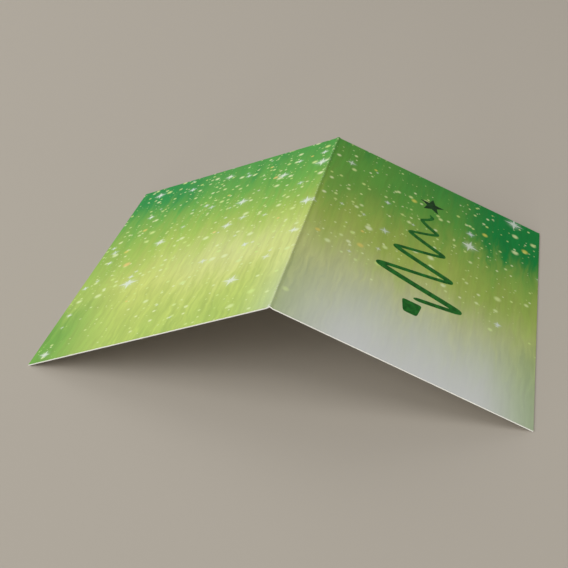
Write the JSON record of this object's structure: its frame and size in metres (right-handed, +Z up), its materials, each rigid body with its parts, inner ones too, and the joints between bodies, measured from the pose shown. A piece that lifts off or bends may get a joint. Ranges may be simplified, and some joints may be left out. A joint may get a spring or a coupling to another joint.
{
  "type": "greeting card",
  "caption": "Portrait greeting card of coated board with one scored fold, standing open as a low tent; printed outside, plain white inside.",
  "frame": {"origin": "on the table under the middle of the fold, halfway between the two free edges", "axes": "+Y along the fold, towards the top of the front cover; +X towards the front cover's free edge; +Z up"},
  "size_m": [0.1938, 0.148, 0.0409],
  "materials": {
    "printed_board": "satin"
  },
  "bodies": {
    "root": {"folded_card": "printed_board"}
  },
  "joints": []
}
